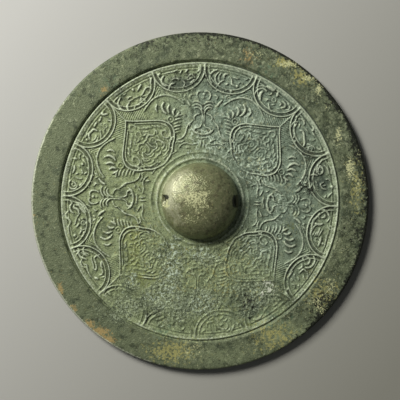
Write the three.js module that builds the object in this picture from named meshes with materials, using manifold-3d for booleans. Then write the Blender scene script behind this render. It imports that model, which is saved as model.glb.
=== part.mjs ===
// An ancient cast-bronze mirror, seen from its decorated back: a round plate with a plain raised rim, a ring of
// sixteen lobes, four heart-shaped leaves with facing birds between them, and a pierced knob in the middle.
// Millimetres, +Z up. The origin is the middle of the reflecting face, which lies downwards.
import * as THREE from "three";
import { mergeVertices } from "three/addons/utils/BufferGeometryUtils.js";
import Module from "manifold-3d";

const wasm = await Module();
wasm.setup();

// The plate
const discRadius = 90;
const rimWidth = 15.1;
const rimThickness = 4.6;
const rimChamfer = 0.7;
const rimStepRun = 0.5;
const fieldThickness = 3.2;
const faceFlatRadius = 45;
const faceRise = 0.8;
const plateSides = 56;

// The knob, its cord hole and the steps at its foot
const knobRadius = 20.6;
const knobHeight = 14;
const knobRings = 6;
const cordHoleWidth = 6.6;
const cordHoleHeight = 6.2;
const cordHoleLift = 1.6;
const cordHoleOverrun = 4;
const seatGap = 2.4;
const seatWidth = 1.5;
const seatHeight = 0.7;
const neckGap = 3.1;

// The relief, which is turned a little against the cord hole
const designTurn = -2.2;
const ringGap = 2.3;
const ringWidth = 1.8;
const ringHeight = 0.9;
const ringCrownWidth = 0.8;
const lobeCount = 16;
const lobeDepth = 12.6;
const lobeSteps = 8;
const lobeLineWidth = 1.1;
const lobeLineHeight = 0.7;
const leafCount = 4;
const leafHalfWidth = 16;
const leafLineWidth = 1.1;
const leafLineHeight = 0.65;
const strokeWidth = 1;
const strokeHeight = 0.55;
const bodyHeight = 0.6;
const bodySlope = 1.1;
const bossRadius = 1.5;
const bossHeight = 0.75;
const rootDepth = 0.4;
const smallestEdge = 0.02;

// What follows from those sizes
const fieldRadius = discRadius - rimWidth;
const ringRadius = fieldRadius - ringGap;
const cuspRadius = ringRadius - ringWidth / 2;
const seatRadius = knobRadius + seatGap;
const neckRadius = seatRadius + neckGap;
const lobeAngle = (2 * Math.PI) / lobeCount;
const lobeHalfChord = cuspRadius * Math.sin(lobeAngle / 2);
const leafAngle = (2 * Math.PI) / leafCount;

// A closed three.js geometry as a manifold-3d solid, whichever way its faces were wound.
function solid(geometry) {
  const bare = geometry.index ? geometry.toNonIndexed() : geometry.clone();
  bare.deleteAttribute("normal");
  bare.deleteAttribute("uv");
  const merged = mergeVertices(bare, 1e-4);
  const corners = merged.index.array;
  const kept = [];
  for (let i = 0; i < corners.length; i += 3) {
    const [a, b, c] = [corners[i], corners[i + 1], corners[i + 2]];
    if (a !== b && b !== c && c !== a) kept.push([a, b, c]);
  }
  const vertProperties = merged.attributes.position.array;
  const make = (faces) =>
    new wasm.Manifold(
      new wasm.Mesh({ numProp: 3, vertProperties, triVerts: new Uint32Array(faces.flat()) })
    );
  const made = make(kept);
  return made.volume() > 0 ? made : make(kept.map(([a, b, c]) => [a, c, b]));
}

function geometryOf(manifold) {
  const mesh = manifold.getMesh();
  const geometry = new THREE.BufferGeometry();
  geometry.setAttribute("position", new THREE.BufferAttribute(mesh.vertProperties, 3));
  geometry.setIndex(new THREE.BufferAttribute(mesh.triVerts, 1));
  geometry.computeVertexNormals();
  return geometry;
}

// A place on the field: share 0 is the neck line round the knob, share 1 is the circle of the lobes' cusps.
function place(share, turn) {
  const radius = neckRadius + share * (cuspRadius - neckRadius);
  return new THREE.Vector2(radius * Math.cos(turn), radius * Math.sin(turn));
}

// A low ridge of triangular section that follows points on the field.
function ridge(points, width, height, steps) {
  const onField = points.map((p) => new THREE.Vector3(p.x, p.y, fieldThickness));
  const path = new THREE.CatmullRomCurve3(onField, false, "centripetal");
  const section = new THREE.Shape([
    new THREE.Vector2(-height, 0),
    new THREE.Vector2(rootDepth, width / 2),
    new THREE.Vector2(rootDepth, -width / 2),
  ]);
  return solid(new THREE.ExtrudeGeometry(section, { steps, extrudePath: path, bevelEnabled: false }));
}

// A ridge that runs round the whole mirror. Its crown is flat where it has a width, and sharp where it has none.
function roundRidge(radius, width, height, crownWidth = 0) {
  const foot = fieldThickness - rootDepth;
  const crown = fieldThickness + height;
  const profile = [
    [radius - width / 2, foot],
    [radius + width / 2, foot],
    [radius + crownWidth / 2, crown],
    [radius - crownWidth / 2, crown],
    [radius - width / 2, foot],
  ];
  if (!crownWidth) profile.splice(3, 1);
  return solid(turned(profile));
}

function turned(profile) {
  const points = profile.map(([radius, z]) => new THREE.Vector2(radius, z));
  return new THREE.LatheGeometry(points, plateSides).rotateX(Math.PI / 2);
}

// A low shape with a spline outline, a flat top and sloping sides, such as a bird's body.
function raisedShape(points, height) {
  const rounded = new THREE.SplineCurve([...points, points[0]]).getPoints(points.length + 2).slice(0, -1);
  const geometry = new THREE.ExtrudeGeometry(new THREE.Shape(rounded), {
    depth: rootDepth,
    bevelThickness: height,
    bevelSize: bodySlope,
    bevelOffset: -bodySlope,
    bevelSegments: 1,
  });
  return solid(geometry.translate(0, 0, fieldThickness - rootDepth));
}

function boss(point) {
  const geometry = new THREE.CylinderGeometry(bossRadius / 2, bossRadius, bossHeight + rootDepth, 5);
  geometry.rotateX(Math.PI / 2);
  return solid(geometry.translate(point.x, point.y, fieldThickness + (bossHeight - rootDepth) / 2));
}

// The plate and the knob are one turned body, from the middle of the reflecting face out and back over the top.
function plateAndKnob() {
  const knobProfile = [];
  for (let i = 0; i <= knobRings; i++) {
    const climb = ((i / knobRings) * Math.PI) / 2;
    knobProfile.push([knobRadius * Math.cos(climb), fieldThickness + knobHeight * Math.sin(climb)]);
  }
  knobProfile[knobRings][0] = 0;
  return solid(
    turned([
      [0, 0],
      [faceFlatRadius, 0],
      [discRadius - rimChamfer / 2, faceRise],
      [discRadius, faceRise + rimChamfer / 2],
      [discRadius, rimThickness - rimChamfer],
      [discRadius - rimChamfer, rimThickness],
      [fieldRadius + rimStepRun, rimThickness],
      [fieldRadius, fieldThickness],
      ...knobProfile,
    ])
  );
}

// The tunnel for the cord, straight through the knob from side to side, with an arched roof.
function cordHole() {
  const radius = cordHoleWidth / 2;
  const wallHeight = cordHoleHeight - radius;
  const mouth = new THREE.Shape();
  mouth.moveTo(-radius, 0);
  mouth.lineTo(radius, 0);
  mouth.lineTo(radius, wallHeight);
  mouth.absarc(0, wallHeight, radius, 0, Math.PI, false);
  mouth.lineTo(-radius, 0);
  const length = 2 * (knobRadius + cordHoleOverrun);
  const geometry = new THREE.ExtrudeGeometry(mouth, { depth: length, bevelEnabled: false, curveSegments: 8 });
  geometry.translate(0, 0, -length / 2).rotateX(Math.PI / 2).rotateZ(Math.PI / 2);
  return solid(geometry.translate(0, 0, fieldThickness + cordHoleLift));
}

// A place inside a lobe: across runs from cusp to cusp as -1 to 1, inward from the ring to the lobe's foot as 0 to 1.
function placeInLobe(turn, across, inward) {
  const radius = cuspRadius - inward * lobeDepth;
  const side = across * lobeHalfChord;
  return new THREE.Vector2(
    radius * Math.cos(turn) - side * Math.sin(turn),
    radius * Math.sin(turn) + side * Math.cos(turn)
  );
}

// One lobe: its outline, and a curled beast with its eye and two strokes of mane. Every other beast is mirrored.
function lobe(index) {
  const turn = (index + 0.5) * lobeAngle;
  const mirrored = index % 2 ? -1 : 1;
  const outline = [];
  for (let i = 0; i <= lobeSteps; i++) {
    const angle = (i / lobeSteps) * Math.PI;
    outline.push(placeInLobe(turn, Math.cos(angle), Math.sin(angle)));
  }
  const line = (places) => places.map(([across, inward]) => placeInLobe(turn, mirrored * across, inward));
  const stroke = (places, steps) => ridge(line(places), strokeWidth, strokeHeight, steps);
  const back = [[-0.5, 0.16], [-0.66, 0.42], [-0.3, 0.68], [0.02, 0.42], [0.4, 0.28], [0.52, 0.56]];
  return [
    ridge(outline, lobeLineWidth, lobeLineHeight, lobeSteps),
    stroke(back, 9),
    stroke([[-0.3, 0.16], [0.04, 0.1]], 1),
    stroke([[0.12, 0.76], [0.27, 0.5]], 1),
    boss(placeInLobe(turn, mirrored * 0.18, 0.22)),
  ];
}

// One leaf: its heart-shaped outline with the stem to the lobes' cusp, and a mask of eyes, brows, whiskers and crest.
function leaf(index) {
  const turn = (index + 0.5) * leafAngle;
  const at = (share, across) => {
    const out = neckRadius + share * (cuspRadius - neckRadius);
    return new THREE.Vector2(out, across * leafHalfWidth).rotateAround(new THREE.Vector2(), turn);
  };
  const outline = [[1, 0], [0.74, 0.04], [0.61, 0.34], [0.49, 0.82], [0.34, 1], [0.2, 0.84], [0.1, 0.54], [0.05, 0.2]];
  const brow = [[0.4, 0.1], [0.47, 0.4], [0.37, 0.66], [0.27, 0.44]];
  const whisker = [[0.1, 0.08], [0.18, 0.32], [0.25, 0.18]];
  const halves = [-1, 1].flatMap((side) => {
    const line = (places) => places.map(([share, across]) => at(share, side * across));
    return [
      ridge(line(outline), leafLineWidth, leafLineHeight, 11),
      ridge(line(brow), strokeWidth, strokeHeight, 7),
      ridge(line(whisker), strokeWidth, strokeHeight, 4),
      boss(at(0.34, side * 0.32)),
    ];
  });
  return [...halves, ridge([at(0.6, 0), at(0.46, 0)], strokeWidth, strokeHeight, 1)];
}

// Two birds face each other across a post, in the space between two leaves.
function birdPair(index) {
  const at = (share, aside) => place(share, (index + aside / 2) * leafAngle);
  const body = [[0.58, 0.25], [0.5, 0.34], [0.36, 0.38], [0.2, 0.36], [0.11, 0.24], [0.27, 0.13], [0.46, 0.15]];
  const plumeArch = [[0.6, 0.8], [0.71, 0.68], [0.74, 0.54], [0.68, 0.4], [0.62, 0.34]];
  const backAndTail = [[0.6, 0.37], [0.42, 0.42], [0.22, 0.41], [0.14, 0.5], [0.06, 0.62]];
  const crest = [[0.6, 0.24], [0.68, 0.12]];
  const birds = [-1, 1].flatMap((side) => {
    const line = (places) => places.map(([share, aside]) => at(share, side * aside));
    const stroke = (places, steps) => ridge(line(places), strokeWidth, strokeHeight, steps);
    const plumes = [0, 1, 2].map((i) =>
      stroke([[0.52 - 0.01 * i, 0.6 - 0.06 * i], [0.67 - 0.03 * i, 0.62 - 0.09 * i]], 1)
    );
    const wing = [0, 1, 2, 3].map((i) =>
      stroke([[0.44 - 0.06 * i, 0.55 - 0.01 * i], [0.41 - 0.06 * i, 0.46]], 1)
    );
    return [
      ridge(line(plumeArch), leafLineWidth, leafLineHeight, 7),
      raisedShape(line(body), bodyHeight),
      stroke(backAndTail, 5),
      stroke(crest, 1),
      boss(at(0.46, side * 0.64)),
      ...plumes,
      ...wing,
    ];
  });
  return [...birds, ridge([at(0.2, 0), at(0.52, 0)], strokeWidth, strokeHeight, 1), boss(at(0.6, 0))];
}

function build() {
  const relief = [
    roundRidge(ringRadius, ringWidth, ringHeight, ringCrownWidth),
    roundRidge(seatRadius, seatWidth, seatHeight),
    roundRidge(neckRadius, leafLineWidth, leafLineHeight),
  ];
  for (let i = 0; i < lobeCount; i++) relief.push(...lobe(i));
  for (let i = 0; i < leafCount; i++) relief.push(...leaf(i), ...birdPair(i));
  const design = wasm.Manifold.union(relief).rotate([0, 0, designTurn]);
  return plateAndKnob().add(design).subtract(cordHole()).simplify(smallestEdge);
}

const bronze = new THREE.MeshStandardMaterial({ color: 0x6f7d62, roughness: 0.6, metalness: 0.55 });
const mirror = new THREE.Mesh(geometryOf(build()), bronze);
mirror.name = "bronze_mirror";

const part = new THREE.Group();
part.add(mirror);

export default part;
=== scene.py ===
"""The ancient bronze mirror, dressed: one worn and patinated casting that lies face down on a pale floor.

The back's relief is drawn as strokes on a height sheet, with brushes sized in millimetres, then worn,
crusted and pressed into a turned body. Blender gets metres, and the classes' sizes are in millimetres.
"""

from __future__ import annotations

import logging
import math
from collections.abc import Callable, Iterator, Sequence
from dataclasses import dataclass, field
from enum import Enum

import bmesh
import bpy
import numpy as np
from mathutils import Matrix, Vector

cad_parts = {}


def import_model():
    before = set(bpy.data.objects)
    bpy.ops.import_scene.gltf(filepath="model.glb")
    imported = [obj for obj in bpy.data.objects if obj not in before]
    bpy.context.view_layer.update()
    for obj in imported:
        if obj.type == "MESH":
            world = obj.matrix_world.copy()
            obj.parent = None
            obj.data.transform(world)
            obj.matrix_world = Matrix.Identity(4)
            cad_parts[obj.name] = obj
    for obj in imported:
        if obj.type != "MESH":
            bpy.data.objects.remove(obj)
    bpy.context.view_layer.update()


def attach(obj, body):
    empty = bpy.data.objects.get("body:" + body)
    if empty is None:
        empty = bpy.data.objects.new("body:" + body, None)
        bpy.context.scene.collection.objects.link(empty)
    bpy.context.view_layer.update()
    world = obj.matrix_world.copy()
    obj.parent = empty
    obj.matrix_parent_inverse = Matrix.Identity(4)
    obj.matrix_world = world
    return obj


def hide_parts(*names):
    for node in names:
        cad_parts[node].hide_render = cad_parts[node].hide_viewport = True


log = logging.getLogger("ancient_mirror")

MM = 0.001
SEED = 1207
NODE = "bronze_mirror"
# Points on the turning axis lie nearer to it than this, in metres.
POLE_REACH = 1e-6
# How far apart a stroke's points are, in millimetres.
POINT_SPACING = 0.35
# Keeps a division by a squared length off zero.
TINY = 1e-9

Points = np.ndarray
Drawing = tuple[tuple[int, ...], ...]


@dataclass(frozen=True)
class MirrorSizes:
    """The casting's sizes in millimetres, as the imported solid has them."""

    disc_radius: float = 90.0
    rim_width: float = 15.1
    rim_thickness: float = 4.6
    rim_step_run: float = 0.5
    field_thickness: float = 3.2
    face_flat_radius: float = 45.0
    face_rise: float = 0.8
    knob_radius: float = 20.6
    knob_height: float = 14.0
    hole_width: float = 6.6
    hole_height: float = 6.2
    hole_lift: float = 1.6
    seat_radius: float = 23.0
    neck_radius: float = 26.1
    ring_radius: float = 72.6
    lobe_count: int = 16
    cusp_radius: float = 71.7
    lobe_depth: float = 12.6
    leaf_count: int = 4
    design_turn: float = -2.2

    @property
    def field_radius(self) -> float:
        """Radius where the field ends and the rim begins."""
        return self.disc_radius - self.rim_width

    @property
    def lobe_half_chord(self) -> float:
        """Half the distance between a lobe's two cusps."""
        return self.cusp_radius * math.sin(math.pi / self.lobe_count)


class Note(Enum):
    """What the casting's mesh notes on each vertex for its finish, by the attribute's name."""

    WORN = "worn"
    CRUST = "crust"
    SHADE = "shade"
    HOLE_SOIL_AND_SHADE = "mouth"
    WASH = "wash"
    KNOB_HIGHLIGHT = "knob_highlight"
    FROST = "frost"
    LACE = "lace"
    MOSS = "moss"
    BLUISH = "bluish"
    OCHRE = "ochre"
    DUSTY = "dusty"
    MALACHITE = "malachite"
    DARK_AND_EDGE_SHADE = "dark_and_edge_shade"
    CROWN = "crown"
    HOLLOW_SHADE = "hollow_shade"
    EDGE_HIGHLIGHT = "brink"
    RIM = "rim"
    KNOB = "knob"
    EVEN = "even"


def bend(start: Sequence[float], heading: float, length: float, curl: float, growth: float = 0.0) -> Points:
    """Points of a stroke that turns as it runs.

    Args:
        start: Where the stroke begins.
        heading: Direction at the start, in degrees.
        length: Length in millimetres.
        curl: Degrees that it turns evenly over its length.
        growth: Further degrees that it turns mostly near its end.

    Returns:
        An array of points about a third of a millimetre apart.
    """
    count = max(4, int(length / POINT_SPACING) + 1)
    share = np.linspace(0.0, 1.0, count)
    angle = np.radians(heading + curl * share + growth * share**2)
    run = length / (count - 1)
    steps = np.column_stack([np.cos(angle[:-1]), np.sin(angle[:-1])]) * run
    return np.vstack([[start], np.asarray(start) + np.cumsum(steps, axis=0)])


def spline(points: Sequence[Sequence[float]], per_span: int = 7, closed: bool = False) -> Points:
    """A smooth curve through the points, by Catmull-Rom spans.

    Args:
        points: The places that the curve passes.
        per_span: How many points each span gets.
        closed: True for an outline that returns to its start.

    Returns:
        An array of points along the curve.
    """
    base = np.asarray(points, dtype=float)
    if closed:
        base = np.vstack([base[-1], base, base[0], base[1]])
    else:
        base = np.vstack([2 * base[0] - base[1], base, 2 * base[-1] - base[-2]])
    share = np.linspace(0.0, 1.0, per_span, endpoint=False)[:, None]
    spans = []
    for a, b, c, d in zip(base[:-3], base[1:-2], base[2:-1], base[3:]):
        square, cube = 2 * a - 5 * b + 4 * c - d, 3 * b - a - 3 * c + d
        spans.append(0.5 * (2 * b + (c - a) * share + square * share**2 + cube * share**3))
    return np.vstack([*spans, base[-2]])


def within(points: Points, outline: Points) -> np.ndarray:
    """Says which points lie inside a closed outline, by the even-odd rule.

    Args:
        points: Places to test, as rows of x and y.
        outline: The outline's corners in order.

    Returns:
        One boolean for each place.
    """
    x, y = points[:, 0], points[:, 1]
    inside = np.zeros(len(points), dtype=bool)
    for (x0, y0), (x1, y1) in zip(outline, np.roll(outline, -1, axis=0)):
        if y0 == y1:
            continue
        crossing = ((y0 > y) != (y1 > y)) & (x < (x1 - x0) * (y - y0) / (y1 - y0) + x0)
        inside ^= crossing
    return inside


@dataclass(frozen=True)
class Place:
    """A motif's own axes on the back: `out` runs away from the knob and `side` runs along the rim."""

    turn: float
    hand: int = 1

    def at(self, places: Points) -> Points:
        """Turns rows of (out, side) in millimetres into places on the sheet."""
        places = np.asarray(places, dtype=float)
        out, side = places[:, 0], places[:, 1] * self.hand
        c, s = math.cos(self.turn), math.sin(self.turn)
        return np.column_stack([out * c - side * s, out * s + side * c])


@dataclass
class HeightSheet:
    """A square sheet of heights over the mirror's back, in millimetres, that brushes draw on.

    `lines` has the strokes and `body` the swollen ground under them.
    """

    half_width: float = 91.0
    pitch: float = 0.15
    swell: tuple[float, ...] = (0.0, 0.3, 0.65, 1.0)
    grain_gain: float = 2.1
    axis: np.ndarray = field(init=False)
    lines: np.ndarray = field(init=False)
    body: np.ndarray = field(init=False)

    def __post_init__(self) -> None:
        """Lays out the sheet's grid, with nothing drawn on it yet."""
        count = int(round(2 * self.half_width / self.pitch)) + 1
        self.axis = np.linspace(-self.half_width, self.half_width, count)
        self.lines = np.zeros((count, count))
        self.body = np.zeros((count, count))

    @property
    def radius(self) -> np.ndarray:
        """Distance of each cell from the mirror's middle."""
        return np.hypot(self.axis[None, :], self.axis[:, None])

    def window(self, points: Points, margin: float) -> tuple[slice, slice, np.ndarray, np.ndarray]:
        """The part of the sheet round some points.

        Args:
            points: Rows of x and y.
            margin: How far past the points the window reaches.

        Returns:
            The rows, the columns, and the x and y of their cells.
        """
        low = np.searchsorted(self.axis, points.min(axis=0) - margin)
        high = np.searchsorted(self.axis, points.max(axis=0) + margin)
        cols, rows = slice(low[0], high[0]), slice(low[1], high[1])
        x, y = np.meshgrid(self.axis[cols], self.axis[rows])
        return rows, cols, x, y

    def stroke(
        self,
        points: Points,
        width: float,
        height: float,
        taper: tuple[float, float] = (0.75, 0.45),
        flat: float = 0.3,
    ) -> None:
        """Draws a stroke that swells in the middle and keeps the higher of itself and what is there.

        Args:
            points: The stroke's middle line.
            width: Full width where it is widest.
            height: Height of its crown over the ground.
            taper: The shares of the width at its start and its end.
            flat: The share of the half width that stays level on its crown.
        """
        rows, cols, x, y = self.window(points, width)
        nearest = np.full(x.shape, np.inf)
        share = np.linspace(0.0, 1.0, len(points))
        widths = np.interp(share, self.swell, [taper[0], 1.0, 1.0, taper[1]]) * width / 2
        for i in range(len(points) - 1):
            start, run = points[i], points[i + 1] - points[i]
            along = ((x - start[0]) * run[0] + (y - start[1]) * run[1]) / max(run @ run, TINY)
            along = np.clip(along, 0.0, 1.0)
            away = np.hypot(x - start[0] - along * run[0], y - start[1] - along * run[1])
            nearest = np.minimum(nearest, away / (widths[i] + (widths[i + 1] - widths[i]) * along))
        target = self.lines[rows, cols]
        np.maximum(target, height * shoulder(nearest, flat), out=target)

    def ring(self, centre: Points, radius: float, width: float, height: float, flat: float = 0.25) -> None:
        """Draws a small round ridge, such as the rim of an eye.

        Args:
            centre: One row with its middle.
            radius: Radius of its crown.
            width: Full width of the ridge.
            height: Height of its crown over the ground.
            flat: The share of the half width that stays level on its crown.
        """
        rows, cols, x, y = self.window(centre, radius + width)
        away = np.abs(np.hypot(x - centre[0, 0], y - centre[0, 1]) - radius)
        target = self.lines[rows, cols]
        np.maximum(target, height * shoulder(2 * away / width, flat), out=target)

    def dome(self, centre: Points, radius: float, height: float) -> None:
        """Draws a round boss."""
        rows, cols, x, y = self.window(centre, radius)
        away = np.hypot(x - centre[0, 0], y - centre[0, 1]) / radius
        target = self.lines[rows, cols]
        np.maximum(target, height * np.sqrt(np.clip(1 - away**2, 0, 1)), out=target)

    def plateau(self, outline: Points, height: float, slope: float) -> None:
        """Raises the ground inside an outline, rounded over at its border.

        Args:
            outline: The border's corners in order.
            height: Height over the ground.
            slope: How far in from the border the full height is reached.
        """
        rows, cols, x, y = self.window(outline, slope)
        cells = np.column_stack([x.ravel(), y.ravel()])
        away = np.full(len(cells), np.inf)
        for start, end in zip(outline, np.roll(outline, -1, axis=0)):
            run = end - start
            along = np.clip(((cells - start) @ run) / max(run @ run, TINY), 0.0, 1.0)
            away = np.minimum(away, np.hypot(*(cells - start - along[:, None] * run).T))
        share = np.where(within(cells, outline), np.clip(away / slope, 0, 1), 0.0)
        rise = height * np.sqrt(1 - (1 - share) ** 2)
        target = self.body[rows, cols]
        np.maximum(target, rise.reshape(x.shape), out=target)

    def circle(self, radius: float, width: float, height: float, flat: float = 0.3) -> None:
        """Draws a line right round the mirror."""
        away = 2 * np.abs(self.radius - radius) / width
        np.maximum(self.lines, height * shoulder(away, flat), out=self.lines)

    def sample(self, heights: np.ndarray, x: np.ndarray, y: np.ndarray) -> np.ndarray:
        """Reads a sheet of values at any places, between its cells.

        Args:
            heights: The values to read.
            x: The places' x in millimetres.
            y: The places' y in millimetres.

        Returns:
            One value for each place.
        """
        count = len(self.axis)
        col = np.clip((x + self.half_width) / self.pitch, 0, count - 1.001)
        row = np.clip((y + self.half_width) / self.pitch, 0, count - 1.001)
        c, r = col.astype(int), row.astype(int)
        fc, fr = col - c, row - r
        upper = heights[r, c] * (1 - fc) + heights[r, c + 1] * fc
        lower = heights[r + 1, c] * (1 - fc) + heights[r + 1, c + 1] * fc
        return upper * (1 - fr) + lower * fr

    def blurred(self, heights: np.ndarray, spread: float) -> np.ndarray:
        """A copy of the heights, softened over the given spread in millimetres."""
        freq_x = np.fft.rfftfreq(len(self.axis), self.pitch)
        freq_y = np.fft.fftfreq(len(self.axis), self.pitch)
        gain = np.exp(-2 * (math.pi * spread) ** 2 * (freq_x[None, :] ** 2 + freq_y[:, None] ** 2))
        return np.fft.irfft2(np.fft.rfft2(heights) * gain, s=heights.shape)

    def grain(self, cell: float, rng: np.random.Generator) -> np.ndarray:
        """Smooth random grain over the whole sheet.

        Args:
            cell: Size of one grain in millimetres.
            rng: Where the random numbers come from.

        Returns:
            Values round zero, with a spread of about one.
        """
        count = int(math.ceil(2 * self.half_width / cell)) + 4
        position = (self.axis + self.half_width) / cell
        index = np.floor(position).astype(int)
        f = position - index
        weights = np.zeros((len(self.axis), count))
        rows = np.arange(len(self.axis))
        spans = ((1 - f) ** 3, 3 * f**3 - 6 * f**2 + 4, -3 * f**3 + 3 * f**2 + 3 * f + 1, f**3)
        for k, span in enumerate(spans):
            weights[rows, index + k] = span / 6
        return self.grain_gain * (weights @ rng.standard_normal((count, count)) @ weights.T)


def shoulder(away: np.ndarray, flat: float) -> np.ndarray:
    """A brush's section: level on its crown, then falling smoothly to nothing at 1."""
    fall = np.clip((1 - away) / (1 - flat), 0, 1)
    return fall * fall * (3 - 2 * fall)


@dataclass
class ScrollFiller:
    """Fills what is left of a motif's ground with small curled strokes that keep off each other."""

    sheet: HeightSheet
    place: Place
    inside: Callable[[Points], np.ndarray]
    rng: np.random.Generator
    taken: Points
    gap: float = 1.55
    width: float = 1.05
    height: float = 0.55
    taper: tuple[float, float] = (0.95, 0.55)
    hooks: tuple[float, float] = (90, 230)
    lengths: tuple[float, float] = (2.4, 6.5)
    even_share: float = 0.35
    fewest_points: int = 6
    both_hands: bool = False

    def fill(self, low: Sequence[float], high: Sequence[float], tries: int) -> int:
        """Draws as many strokes as find room.

        Args:
            low: Lowest out and side that a stroke may start at.
            high: Highest out and side that a stroke may start at.
            tries: How many starts are tried.

        Returns:
            How many strokes were drawn.
        """
        drawn = 0
        for _ in range(tries):
            start = self.rng.uniform(low, high)
            heading = self.rng.uniform(0, 360)
            hook = self.rng.choice([-1, 1]) * self.rng.uniform(*self.hooks)
            length = self.rng.uniform(*self.lengths)
            path = bend(start, heading, length, self.even_share * hook, (1 - self.even_share) * hook)
            free = self.inside(path)
            gaps = path[:, None] - self.taken[None]
            free &= np.hypot(gaps[..., 0], gaps[..., 1]).min(axis=1) > self.gap
            run = len(path) if free.all() else int(np.argmin(free))
            if run < self.fewest_points:
                continue
            path = path[:run]
            self.taken = np.vstack([self.taken, path])
            for hand in (1, -1) if self.both_hands else (1,):
                place = Place(self.place.turn, self.place.hand * hand)
                self.sheet.stroke(place.at(path), self.width, self.height, self.taper)
            drawn += 1
        return drawn


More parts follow.
